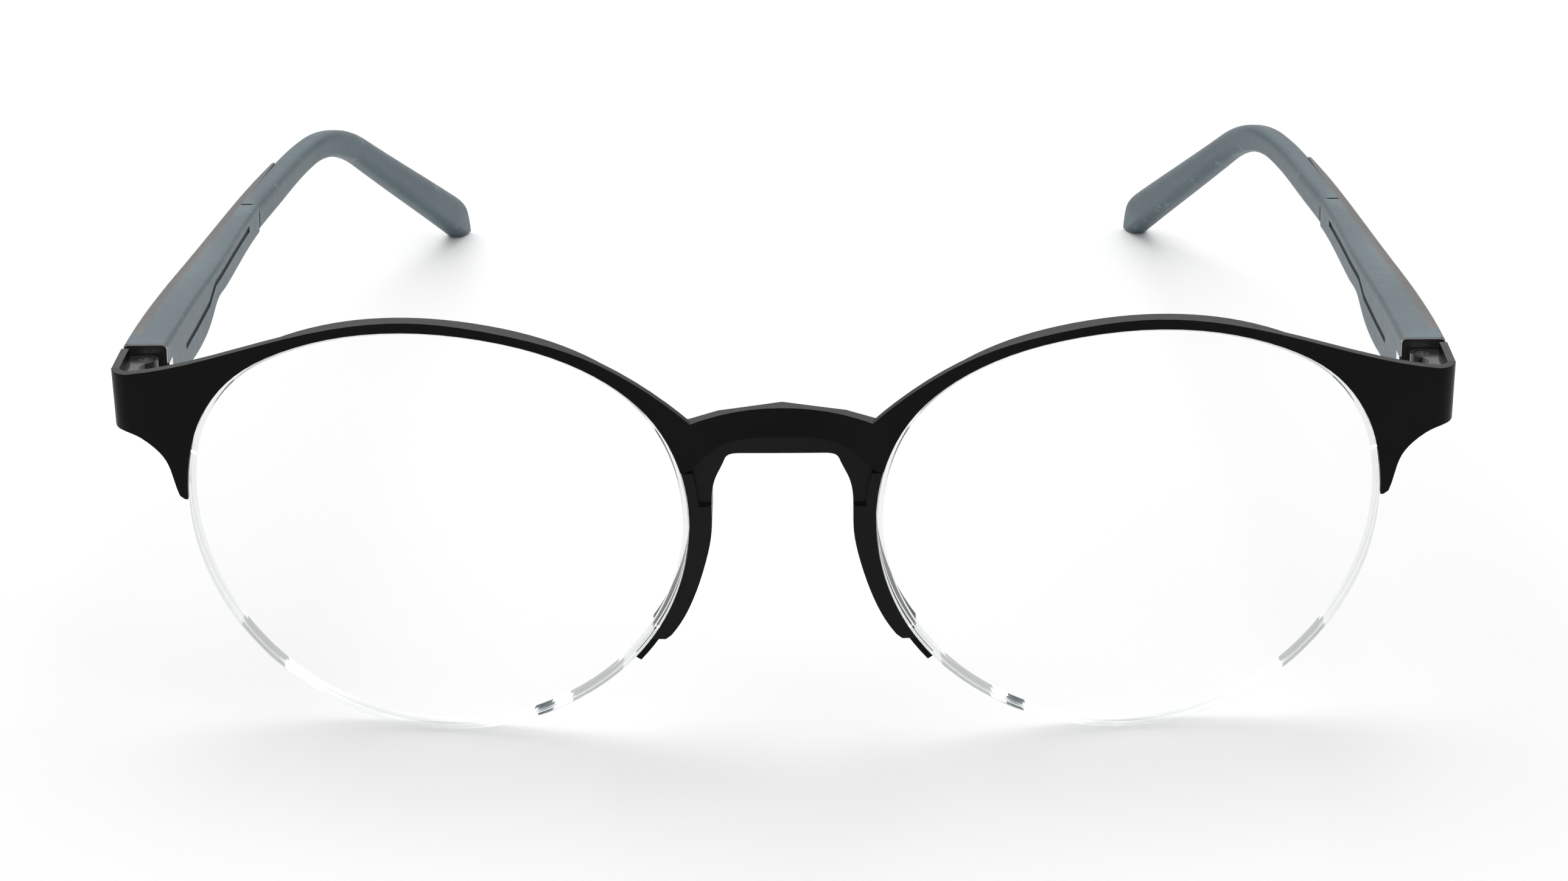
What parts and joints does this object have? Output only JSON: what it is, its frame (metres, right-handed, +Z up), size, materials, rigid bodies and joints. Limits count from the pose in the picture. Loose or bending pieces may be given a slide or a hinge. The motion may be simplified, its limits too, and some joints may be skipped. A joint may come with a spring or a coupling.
{
  "type": "half rim eyeglasses",
  "caption": "Half-rim eyeglasses with a bent steel brow front, nylon-held oval lenses, a plastic nose saddle and spring-hinged folding temples.",
  "frame": {"origin": "middle of the base of the glasses' box as they stand open on a table, on their lens bottoms and temple tips", "axes": "+Z up, +Y back along the temples (the front looks to -Y), +X to the wearer's left"},
  "size_m": [0.137, 0.1456, 0.048],
  "materials": {
    "black_steel": "satin black coat",
    "saddle_black": "matte black",
    "lens_clear": "clear, anti-reflective coat",
    "clear_nylon": "clear nylon",
    "hinge_black": "gloss black coat",
    "hinge_steel": "polished steel",
    "spring_steel": "bare steel",
    "temple_grey": "matte blue-grey rubbery coat",
    "blade_taupe": "dark taupe satin",
    "inlay_black": "black"
  },
  "bodies": {
    "front": {"brow_front": "black_steel", "nose_saddle": "saddle_black", "left_saddle_pin": "spring_steel", "left_lens": "lens_clear", "left_eyewire": "black_steel", "left_rim_liner": "clear_nylon", "left_nylon_cord": "clear_nylon", "left_hinge_block": "hinge_black", "left_hinge_screw": "hinge_steel", "right_saddle_pin": "spring_steel", "right_lens": "lens_clear", "right_eyewire": "black_steel", "right_rim_liner": "clear_nylon", "right_nylon_cord": "clear_nylon", "right_hinge_block": "hinge_black", "right_hinge_screw": "hinge_steel"},
    "left_knuckle_body": {"left_hinge_knuckle": "hinge_steel", "left_spring_stop": "spring_steel"},
    "left_temple": {"left_spring_box": "hinge_steel", "left_box_cap": "spring_steel", "left_hinge_spring": "spring_steel", "left_end_plate": "hinge_black", "left_temple_cover": "temple_grey", "left_temple_blade": "blade_taupe", "left_slit_inlay": "inlay_black", "left_core_wire": "spring_steel", "left_seam_ring": "inlay_black", "left_temple_tip": "temple_grey"},
    "right_knuckle_body": {"right_hinge_knuckle": "hinge_steel", "right_spring_stop": "spring_steel"},
    "right_temple": {"right_spring_box": "hinge_steel", "right_box_cap": "spring_steel", "right_hinge_spring": "spring_steel", "right_end_plate": "hinge_black", "right_temple_cover": "temple_grey", "right_temple_blade": "blade_taupe", "right_slit_inlay": "inlay_black", "right_core_wire": "spring_steel", "right_seam_ring": "inlay_black", "right_temple_tip": "temple_grey"}
  },
  "joints": [
    {"name": "left_temple_fold", "type": "hinge", "parent": "front", "child": "left_knuckle_body", "pos_m": [0.06585, -0.0586, 0.036], "axis": [0, 0.1097, 0.994], "range_deg": [-7, 83]},
    {"name": "left_flex_slide", "type": "slide", "parent": "left_knuckle_body", "child": "left_temple", "axis": [0, 0.994, -0.1097], "range_m": [0, 0.0011], "stiffness_N_per_m": 3000, "springref_m": -0.0005, "deforming": ["left_hinge_spring"]},
    {"name": "right_temple_fold", "type": "hinge", "parent": "front", "child": "right_knuckle_body", "pos_m": [-0.06585, -0.0586, 0.036], "axis": [0, -0.1097, -0.994], "range_deg": [-7, 71]},
    {"name": "right_flex_slide", "type": "slide", "parent": "right_knuckle_body", "child": "right_temple", "axis": [0, 0.994, -0.1097], "range_m": [0, 0.0011], "stiffness_N_per_m": 3000, "springref_m": -0.0005, "deforming": ["right_hinge_spring"]}
  ]
}
